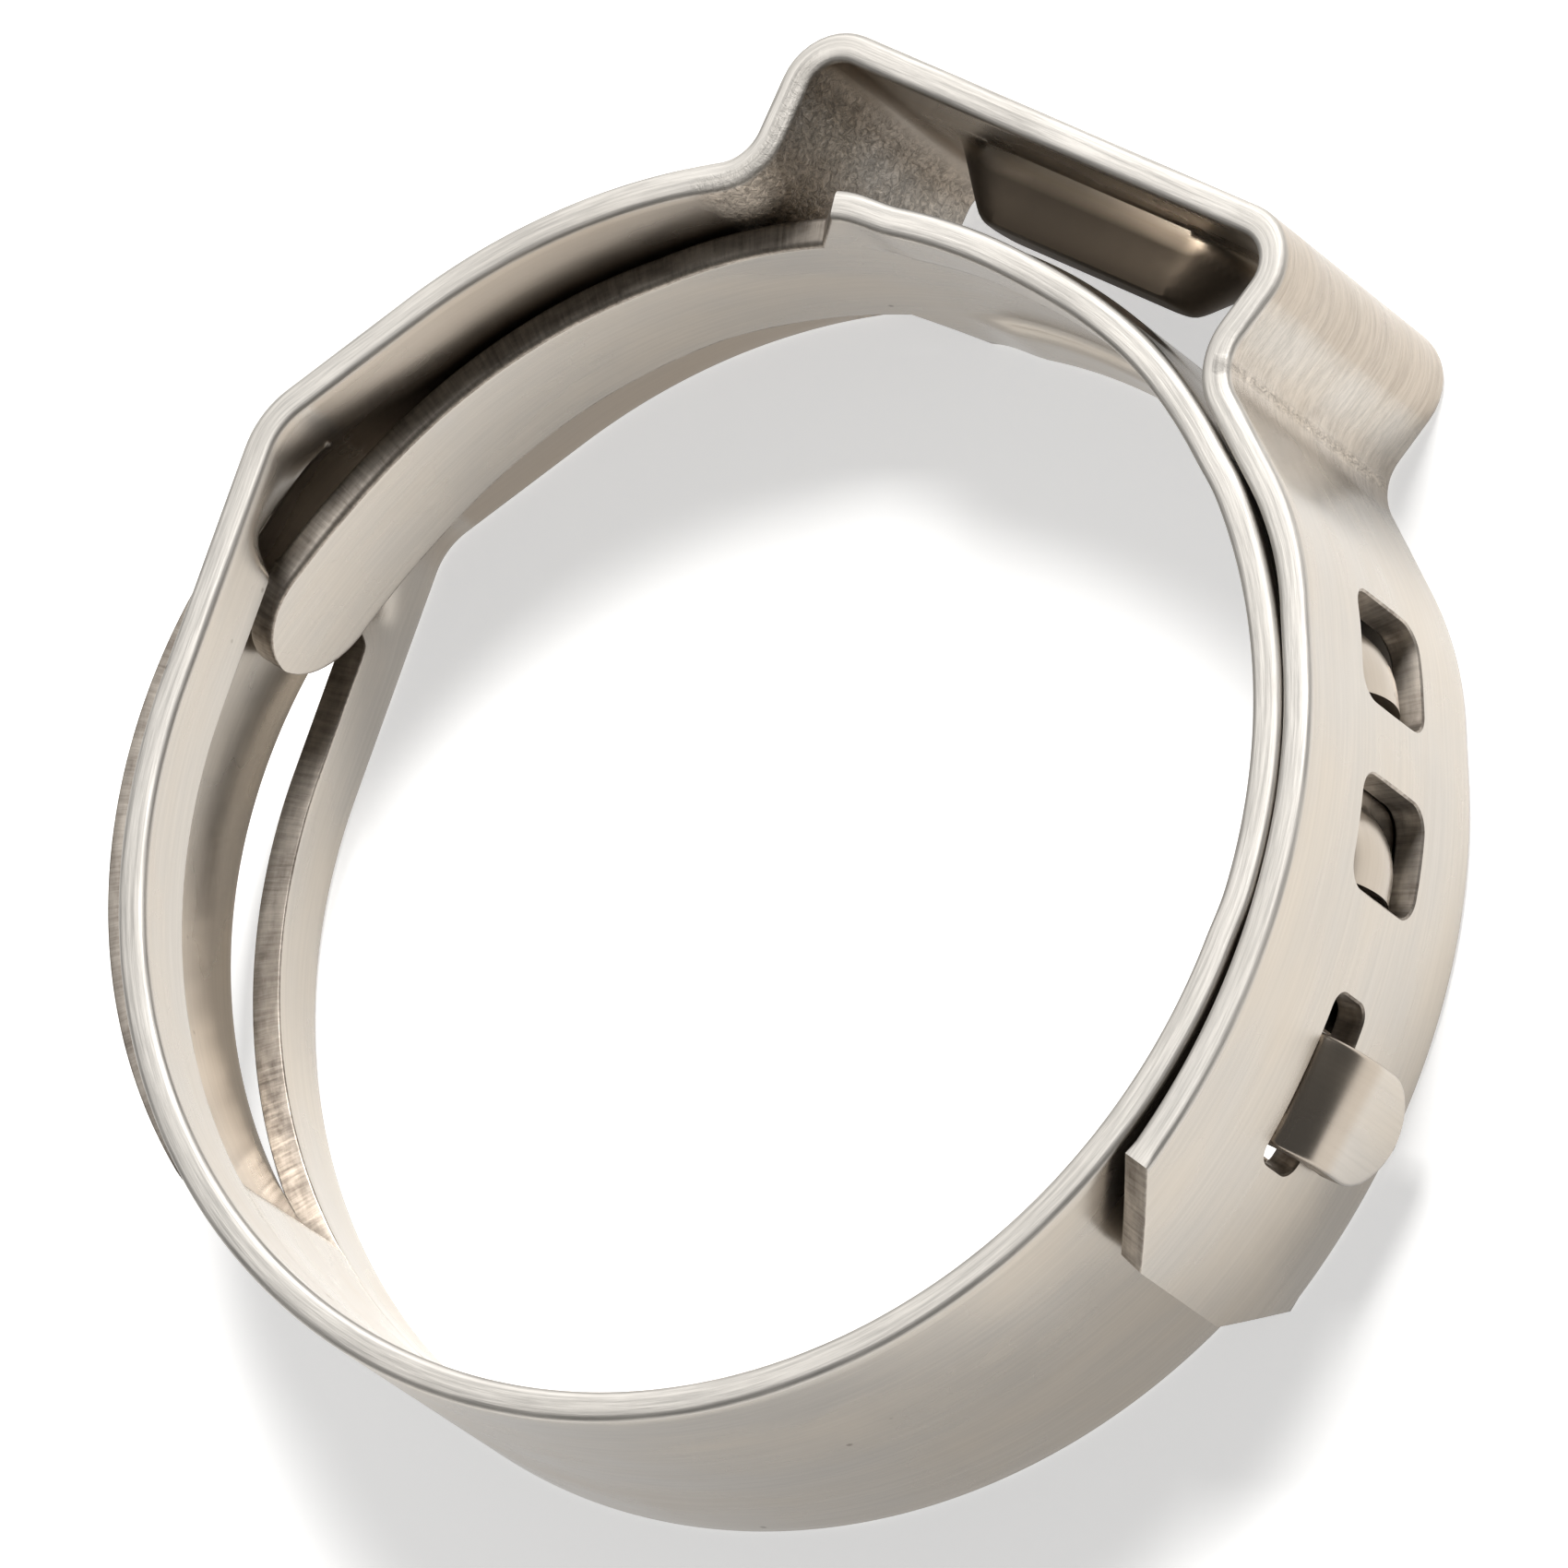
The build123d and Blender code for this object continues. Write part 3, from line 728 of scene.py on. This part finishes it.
def folded_tab(shell, offset):
    """The tab: a flat bar carried up through the slot and folded over the outer layer.

    Its route lies in the plane of the radius and the axis, and the width runs round the ring.
    """
    face_z = SLOT_Z[1] - TAB_GAP
    lap_r = BORE_R + STRIP_T + LAP_GAP
    tail_off = TAIL_R - (TAIL_R - lap_r) * cos(radians(TAIL_FROM - TAB_AT))
    top = tail_off + STRIP_T + TAB_GAP + STRIP_T
    runs = rounded_runs(((BORE_R + STRIP_T, face_z + TAB_ROOT_RUN), (BORE_R + STRIP_T, face_z),
                         (top, face_z), (top, TAB_END_Z)), (TAB_ROOT_R, TAB_BEND_R + STRIP_T))
    route = Route((BORE_R + STRIP_T, face_z + TAB_ROOT_RUN), -pi / 2, runs)
    tip = route.total - TAB_TIP_R
    tip_s = tip + TAB_TIP_R * np.sin(np.linspace(0, pi / 2, 10))
    s = rows(np.concatenate((route.begin[:-1], tip_s)), fine=((0.0, route.total),))
    past = np.clip(s - tip, 0, TAB_TIP_R)
    half = (TAB_W / 2 - TAB_TIP_R + np.sqrt(np.maximum(TAB_TIP_R ** 2 - past ** 2, 0)))[:, None]
    lip = np.full_like(half, TAB_ROUND)
    columns = np.linspace(0, 1, TAB_CELLS + 1)
    face_w = -half + lip + 2 * (half - lip) * columns
    loop_w, loop_n = bar_outline(face_w, -half, half, lip, lip, np.array([]))
    along = np.broadcast_to(s[:, None], loop_w.shape)
    x, y, normal_x, normal_y = route.at(along)
    radius, height = x + normal_x * loop_n, y + normal_y * loop_n
    out_x, out_y = polar(1.0, TAB_AT)
    place = np.stack((radius * out_x - loop_w * out_y, radius * out_y + loop_w * out_x, height), -1)
    strip = np.stack((along + offset, loop_w + MID_Z, loop_n), -1)
    marks = bend_marks(route, TAB_BEND_REACH)(along, loop_w, loop_n)
    faces = quads(*loop_w.shape, closed=True)
    cut = np.zeros(faces.shape[:2], int)
    cut[:, (TAB_CELLS + EDGE_CELLS, -EDGE_CELLS - 1)] = 1
    shell.add(place, strip, marks, faces.reshape(-1, 4), cut.ravel())
    for row in (0, -1):
        shell.add(place[row], strip[row], marks[row], [np.arange(loop_w.shape[1])], 1)


def ear_sizes(ear):
    """The ear's sizes as the panel gives them, in millimetres and degrees."""
    sizes = {name: getattr(ear, name) / MM for name in ("rise", "right", "left", "bend", "dimple")}
    return sizes | {name: np.degrees(getattr(ear, name)) for name in ("lean_right", "lean_left")}


def linear(hexes):
    """An sRGB colour written as six hex digits, as linear red, green, blue and alpha."""
    values = np.array([int(hexes[i:i + 2], 16) for i in (0, 2, 4)]) / 255
    low = values / 12.92
    high = ((values + 0.055) / 1.055) ** 2.4
    return (*np.where(values <= 0.04045, low, high).tolist(), 1.0)


def add_node(tree, kind, values=None, links=None, **settings):
    """Adds one node: its own settings, its input values, and the sockets that feed its inputs."""
    made = tree.nodes.new("ShaderNode" + kind)
    for name, value in settings.items():
        setattr(made, name, value)
    for name, value in (values or {}).items():
        made.inputs[name].default_value = value
    for name, socket in (links or {}).items():
        tree.links.new(socket, made.inputs[name])
    return made


def new_material(name):
    """An empty node material and its tree."""
    made = bpy.data.materials.new(name)
    made.use_nodes = True
    made.node_tree.nodes.clear()
    return made, made.node_tree


def strip_pattern(tree, strip, scale, detail, roughness, distortion=0.0):
    """Noise over the strip; scale holds the cells to the millimetre along, across and through it."""
    at = add_node(tree, "Mapping", {"Scale": scale}, {"Vector": strip})
    noise = add_node(tree, "TexNoise", {"Scale": 1.0, "Detail": detail, "Roughness": roughness,
                                        "Distortion": distortion}, {"Vector": at.outputs[0]})
    return noise.outputs["Fac"]


def bare_metal(tree, colour, rough, normal):
    """The metal shader that both finishes of the strip end in."""
    shader = add_node(tree, "BsdfPrincipled", {"Metallic": 1.0},
                      {"Base Color": colour.outputs[2], "Roughness": rough, "Normal": normal})
    add_node(tree, "OutputMaterial", links={"Surface": shader.outputs[0]})


def rolled_stainless(look):
    """Cold-rolled stainless strip, satin: warm grey, soft lengthwise grain, a few pits and draw marks.

    The eye sees a fairly clear reflection, drawn out a little along the strip, and duller, browner metal at
    the strip's bends. The same brown tone is painted shade on the left shoulder's inner face and on the
    hooks, and a dark tone is painted shade over the dimple.
    """
    made, tree = new_material("cold_rolled_stainless_satin")
    strip = add_node(tree, "Attribute", attribute_name="strip").outputs["Vector"]
    marks = add_node(tree, "Attribute", attribute_name="marks").outputs["Vector"]
    split = add_node(tree, "SeparateXYZ", links={"Vector": marks})
    crinkle, drawn, bend_and_shade = (split.outputs[i] for i in range(3))

    # rolling grain, lines 0.08 mm apart and a few millimetres long
    grain = strip_pattern(tree, strip, (0.35, 12.0, 12.0), 3.0, 0.6)
    # cloudiness from handling, a few millimetres across
    cloud = strip_pattern(tree, strip, (0.22, 0.45, 0.45), 3.0, 0.55)
    # crinkled skin on the inside of the stretched leg, wrinkles 0.12 mm apart
    skin = strip_pattern(tree, strip, (7.0, 5.0, 5.0), 4.0, 0.75, 1.2)
    # draw marks along the drawn leg, 0.1 mm apart
    draw = strip_pattern(tree, strip, (1.6, 9.0, 1.0), 5.0, 0.75, 0.2)
    # rough streaks of the slitting rolls along the edges, 0.07 mm apart
    streak = strip_pattern(tree, strip, (0.5, 14.0, 14.0), 4.0, 0.7)
    # pits and nicks 0.1 mm across, a few to the centimetre
    cells = add_node(tree, "TexVoronoi", {"Scale": 0.9, "Randomness": 1.0}, {"Vector": strip})
    pick = add_node(tree, "SeparateColor", links={"Color": cells.outputs["Color"]})
    chosen = add_node(tree, "Math", {1: 0.72}, {0: pick.outputs[0]}, operation="GREATER_THAN")
    # distance from the strip's middle line, for the rolled edges within 0.15 mm of the two sides
    across = add_node(tree, "SeparateXYZ", links={"Vector": strip})
    off_middle = add_node(tree, "Math", {1: MID_Z}, {0: across.outputs["Y"]}, operation="SUBTRACT")
    off_middle = add_node(tree, "Math", links={0: off_middle.outputs[0]}, operation="ABSOLUTE")

    # each share or factor is read from a pattern or a mark, between two of its values
    read = []
    # a bend mark up to 1 gives the bend share, painted shade included; from 1 to 2 it gives the dimple's
    # painted shade
    for source, start, stop, low, high in (
            (cloud, 0.38, 0.66, 0.0, 1.0), (grain, 0.35, 0.7, 0.95, 1.03), (bend_and_shade, 0.12, 0.9, 0.0, 0.55),
            (bend_and_shade, 1.0, 2.0, 0.0, 1.0), (skin, 0.4, 0.62, 0.72, 1.5), (draw, 0.36, 0.6, 0.84, 1.08),
            (off_middle.outputs[0], MID_Z - 0.16, MID_Z - 0.05, 0.0, 1.0), (streak, 0.36, 0.6, 0.8, 1.1),
            (cells.outputs["Distance"], 0.035, 0.07, 0.6, 0.0),
            (cloud, 0.3, 0.7, look.rough_low, look.rough_high)):
        ends = {"From Min": start, "From Max": stop, "To Min": low, "To Max": high}
        read.append(add_node(tree, "MapRange", ends, {"Value": source}).outputs[0])
    tone, lines, bend, pressed, fleck, smear, edge, rubbed, pit, rough = read
    pit = add_node(tree, "Math", links={0: pit, 1: chosen.outputs[0]}, operation="MULTIPLY").outputs[0]

    # colour: two near tones by the clouds, lined by the grain; then a tone is laid on, or flecks multiply
    colour = add_node(tree, "Mix", {6: linear(look.steel_cool), 7: linear(look.steel_warm)},
                      {0: tone}, data_type="RGBA")
    colour = add_node(tree, "Mix", {0: 1.0}, {6: colour.outputs[2], 7: lines},
                      data_type="RGBA", blend_type="MULTIPLY")
    # the bends' brown also paints shade on the left shoulder's inner face and the hooks, and the dimple tone
    # paints the dimple's shade
    for share, laid in ((bend, look.bend_and_shade_tone), (pressed, look.dimple_shade_tone), (crinkle, fleck),
                        (drawn, smear), (edge, look.steel_edge), (edge, rubbed), (pit, look.pit)):
        links = {0: share, 6: colour.outputs[2]}
        if isinstance(laid, str):
            colour = add_node(tree, "Mix", {7: linear(laid)}, links, data_type="RGBA")
        else:
            colour = add_node(tree, "Mix", {}, links | {7: laid}, data_type="RGBA", blend_type="MULTIPLY")

    # roughness: clouds, then duller on the worked skin, the edges, the dimple and the bends
    for share, more in ((crinkle, 0.14), (edge, 0.36), (pressed, 0.18), (bend_and_shade, 0.05)):
        rough = add_node(tree, "Math", {1: more}, {0: share, 2: rough}, operation="MULTIPLY_ADD").outputs[0]

    # relief: the height of each pattern in metres, everywhere or where a mark calls for it
    below = {}
    for pattern, share, height in ((grain, None, 0.9e-6), (cloud, None, 5.0e-6), (streak, edge, 6.0e-6),
                                   (skin, crinkle, 3.0e-5), (draw, drawn, 0.9e-5)):
        if share is not None:
            pattern = add_node(tree, "Math", links={0: pattern, 1: share}, operation="MULTIPLY").outputs[0]
        raised = add_node(tree, "Bump", {"Strength": 1.0, "Distance": height}, {"Height": pattern} | below)
        below = {"Normal": raised.outputs[0]}
    bare_metal(tree, colour, rough, raised.outputs[0])
    return made


def sheared_stainless(look):
    """The cut edge of the same strip: part burnished, part torn, with fine lines through the thickness.

    The eye sees a duller, browner grey with short bright and dark lines square to the face.
    """
    made, tree = new_material("sheared_stainless_edge")
    strip = add_node(tree, "Attribute", attribute_name="strip").outputs["Vector"]
    # shear lines 0.09 mm apart, running through the thickness
    line = strip_pattern(tree, strip, (11.0, 11.0, 0.9), 3.0, 0.65)
    # burnished and torn patches, about a millimetre along the edge
    patch = strip_pattern(tree, strip, (0.9, 0.9, 2.5), 4.0, 0.6)
    both = add_node(tree, "Math", {1: 0.6}, {0: line, 2: patch}, operation="MULTIPLY_ADD")
    share = add_node(tree, "MapRange", {"From Min": 0.6, "From Max": 1.0}, {"Value": both.outputs[0]})
    colour = add_node(tree, "Mix", {6: linear(look.cut_dark), 7: linear(look.cut_light)},
                      {0: share.outputs[0]}, data_type="RGBA")
    rough = add_node(tree, "MapRange", {"From Min": 0.4, "From Max": 1.1, "To Min": 0.6, "To Max": 0.42},
                     {"Value": both.outputs[0]})
    relief = add_node(tree, "Bump", {"Strength": 1.0, "Distance": 5.0e-6}, {"Height": line})
    bare_metal(tree, colour, rough.outputs[0], relief.outputs[0])
    return made


def white_sweep(look):
    """Matt white board: shaded where the object stands on it, plain white to the eye and in reflections."""
    made, tree = new_material("matt_white_board")
    board = add_node(tree, "BsdfDiffuse", {"Color": linear(look.board)})
    path = add_node(tree, "LightPath")
    seen = path.outputs["Is Camera Ray"]
    for ray in ("Is Glossy Ray", "Is Transmission Ray"):
        seen = add_node(tree, "Math", links={0: seen, 1: path.outputs[ray]}, operation="MAXIMUM").outputs[0]
    lift = add_node(tree, "Math", {1: look.board_glow}, {0: seen}, operation="MULTIPLY")
    glow = add_node(tree, "Emission", {"Color": (1.0, 1.0, 1.0, 1.0)}, {"Strength": lift.outputs[0]})
    both = add_node(tree, "AddShader", links={0: board.outputs[0], 1: glow.outputs[0]})
    add_node(tree, "OutputMaterial", links={"Surface": both.outputs[0]})
    return made


LENGTH = {"precision": 5, "unit": "LENGTH", "subtype": "DISTANCE"}
ANGLE = {"unit": "ROTATION", "subtype": "ANGLE"}


class ClampStrip(bpy.types.PropertyGroup):
    """Sizes of the strip."""
    edge_round: FloatProperty(name="Edge rounding", description="Rounding of the strip's rolled edges",
        default=0.13 * MM, **LENGTH)
    lap_gap: FloatProperty(name="Lap gap", description="Free space between the two layers",
        default=LAP_GAP * MM, **LENGTH)


class ClampEar(bpy.types.PropertyGroup):
    """Sizes of the ear that is crimped when the clamp is fitted."""
    rise: FloatProperty(name="Rise", description="Height of the ear's inner face above the outer layer",
        default=1.7 * MM, **LENGTH)
    right: FloatProperty(name="Right corner", description="From the middle to the right inner corner",
        default=5.74 * MM, **LENGTH)
    left: FloatProperty(name="Left corner", description="From the middle to the left inner corner",
        default=5.39 * MM, **LENGTH)
    bend: FloatProperty(name="Top bends", description="Inner radius of the two upper bends",
        default=0.65 * MM, **LENGTH)
    dimple: FloatProperty(name="Dimple depth", description="Depth of the dimple below the ear's inner face",
        default=1.35 * MM, **LENGTH)
    lean_right: FloatProperty(name="Right lean", description="Lean of the right leg",
        default=radians(10.0), **ANGLE)
    lean_left: FloatProperty(name="Left lean", description="Lean of the left leg",
        default=radians(4.8), **ANGLE)


class SteelLook(bpy.types.PropertyGroup):
    """Colours, in sRGB hex, and gloss of the steel, and the board it lies on."""
    steel_cool: StringProperty(name="Cool steel", description="Cooler tone of the strip", default="B8B2AA")
    steel_warm: StringProperty(name="Warm steel", description="Warmer tone of the strip", default="C1B8AC")
    # brown of the bends, also used as painted shade on the left shoulder's inner face and the hooks
    bend_and_shade_tone: StringProperty(name="Bent steel", description="Tone of sharp bends", default="A69786")
    steel_edge: StringProperty(name="Edge steel", description="Tone of the rolled edges", default="C8C4BE")
    # dark tone painted as shade over the dimple
    dimple_shade_tone: StringProperty(name="Pressed steel", description="Tone of the dimple", default="716960")
    pit: StringProperty(name="Pits", description="Tone of small pits", default="6E6257")
    cut_dark: StringProperty(name="Dark shear", description="Darker tone of a cut edge", default="857C73")
    cut_light: StringProperty(name="Light shear", description="Lighter tone of a cut edge", default="C4BBB0")
    board: StringProperty(name="Board", description="Tone of the board below", default="E2E1DF")
    rough_low: FloatProperty(name="Gloss side", description="Roughness of the clearest patches", default=0.2)
    rough_high: FloatProperty(name="Dull side", description="Roughness of the dullest patches", default=0.34)
    board_glow: FloatProperty(name="Board glow", default=0.56,
                              description="Light the board adds to the eye and reflections")
    key_power: FloatProperty(name="Key lamp", description="Power of the lamp beyond the ear", default=2.7,
                             unit="POWER")
    box_power: FloatProperty(name="Light box", description="Power of the large box that the edges reflect",
                             default=0.12, unit="POWER")


class CLAMP_OT_strip(bpy.types.Operator):
    """Builds the wound strip, its ear, openings, hooks and tab as one closed mesh"""
    bl_idname = "clamp.strip"
    bl_label = "Wound strip"

    def execute(self, context):
        ear = ear_sizes(context.scene.clamp_ear)
        lap_r = BORE_R + STRIP_T + context.scene.clamp_strip.lap_gap / MM
        outer, rails, strap, inner = routes(lap_r, ear)
        shell = Shell()
        outer_layer(shell, outer, 0.0, ear["dimple"])
        both_rails(shell, rails, strap, outer.total)
        strap_between(shell, strap, outer.total)
        inner_layer(shell, inner, outer.total + rails.total)
        folded_tab(shell, outer.total + rails.total + inner.total)
        piece = bpy.data.objects.new("wound_strip", shell.mesh("wound_strip"))
        context.scene.collection.objects.link(piece)
        look = context.scene.clamp_look
        piece.data.materials.append(rolled_stainless(look))
        piece.data.materials.append(sheared_stainless(look))
        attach(piece, "root")
        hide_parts(NODE)
        return {"FINISHED"}


class CLAMP_OT_stage(bpy.types.Operator):
    """Lays the white board, hangs the lamps and sets the camera"""
    bl_idname = "clamp.stage"
    bl_label = "Stage"

    def execute(self, context):
        look = context.scene.clamp_look
        mesh = bpy.data.meshes.new("board")
        drop = CAD_BOX[0][2]
        corners = [(x * BOARD_HALF, y * BOARD_HALF, drop) for x, y in ((-1, -1), (1, -1), (1, 1), (-1, 1))]
        mesh.from_pydata(corners, [], [(0, 1, 2, 3)])
        board = bpy.data.objects.new("board", mesh)
        context.scene.collection.objects.link(board)
        board.data.materials.append(white_sweep(look))
        hang_lamp(**KEY_LAMP, power=look.key_power)
        hang_lamp(**EDGE_BOX, power=look.box_power)
        set_world()
        set_camera(context)
        context.scene.view_settings.view_transform = "Standard"
        return {"FINISHED"}


def hang_lamp(name, place, size, power):
    """A square lamp at a place, turned towards the middle of the board."""
    lamp = bpy.data.lights.new(name, "AREA")
    lamp.shape = "SQUARE"
    lamp.size = size
    lamp.energy = power
    holder = bpy.data.objects.new(name, lamp)
    holder.location = place
    x, y, z = place
    holder.rotation_euler = (atan2(hypot(x, y), z), 0.0, atan2(x, -y))
    bpy.context.scene.collection.objects.link(holder)


def set_world():
    """Weak even light from all round; the board fills what the camera sees."""
    world = bpy.data.worlds.new("plain_room")
    bpy.context.scene.world = world
    world.use_nodes = True
    world.node_tree.nodes.clear()
    room = add_node(world.node_tree, "Background", {"Color": linear("F2F1EF"), "Strength": WORLD_LIGHT})
    add_node(world.node_tree, "OutputWorld", links={"Surface": room.outputs[0]})


BOARD_HALF = 0.6
WORLD_LIGHT = 0.15
KEY_LAMP = {"name": "key_lamp", "place": (-0.09, 0.248, 0.377), "size": 0.15}
EDGE_BOX = {"name": "edge_box", "place": (-0.24, 0.04, 0.36), "size": 0.3}
CAMERA_PLACE = (0.225761, -0.036016, 0.343966)
CAMERA_TURN = (21.5334, 26.9375, 31.6749)
CAMERA_LENS = 497.94


def set_camera(context):
    """The camera: far off with a long lens, above the ring and a little to its right."""
    lens = bpy.data.cameras.new("camera")
    lens.lens = CAMERA_LENS
    lens.sensor_width = 36.0
    lens.clip_end = 10.0
    camera = bpy.data.objects.new("camera", lens)
    camera.location = CAMERA_PLACE
    camera.rotation_euler = [radians(a) for a in CAMERA_TURN]
    context.scene.collection.objects.link(camera)
    context.scene.camera = camera


class CLAMP_PT_panel(bpy.types.Panel):
    """Sizes, finish and building steps of the clamp"""
    bl_idname = "CLAMP_PT_panel"
    bl_label = "Ear Clamp"
    bl_space_type = "VIEW_3D"
    bl_region_type = "UI"
    bl_category = "Ear Clamp"

    def draw(self, context):
        scene = context.scene
        for group in (scene.clamp_strip, scene.clamp_ear, scene.clamp_look):
            box = self.layout.box()
            for name in group.bl_rna.properties.keys():
                if name not in ("rna_type", "name"):
                    box.prop(group, name)
        for operator in (CLAMP_OT_strip, CLAMP_OT_stage):
            self.layout.operator(operator.bl_idname)


GROUPS = {"clamp_strip": ClampStrip, "clamp_ear": ClampEar, "clamp_look": SteelLook}
CLASSES = (*GROUPS.values(), CLAMP_OT_strip, CLAMP_OT_stage, CLAMP_PT_panel)


def register():
    """Registers the classes and hangs the property groups on the scene."""
    for item in CLASSES:
        bpy.utils.register_class(item)
    for name, group in GROUPS.items():
        setattr(bpy.types.Scene, name, PointerProperty(type=group))


def unregister():
    """Takes the property groups and classes away again."""
    for name in GROUPS:
        delattr(bpy.types.Scene, name)
    for item in reversed(CLASSES):
        bpy.utils.unregister_class(item)


def main():
    """Builds the clamp and its stage."""
    register()
    bpy.ops.clamp.strip()
    bpy.ops.clamp.stage()


if __name__ == "__main__":
    main()
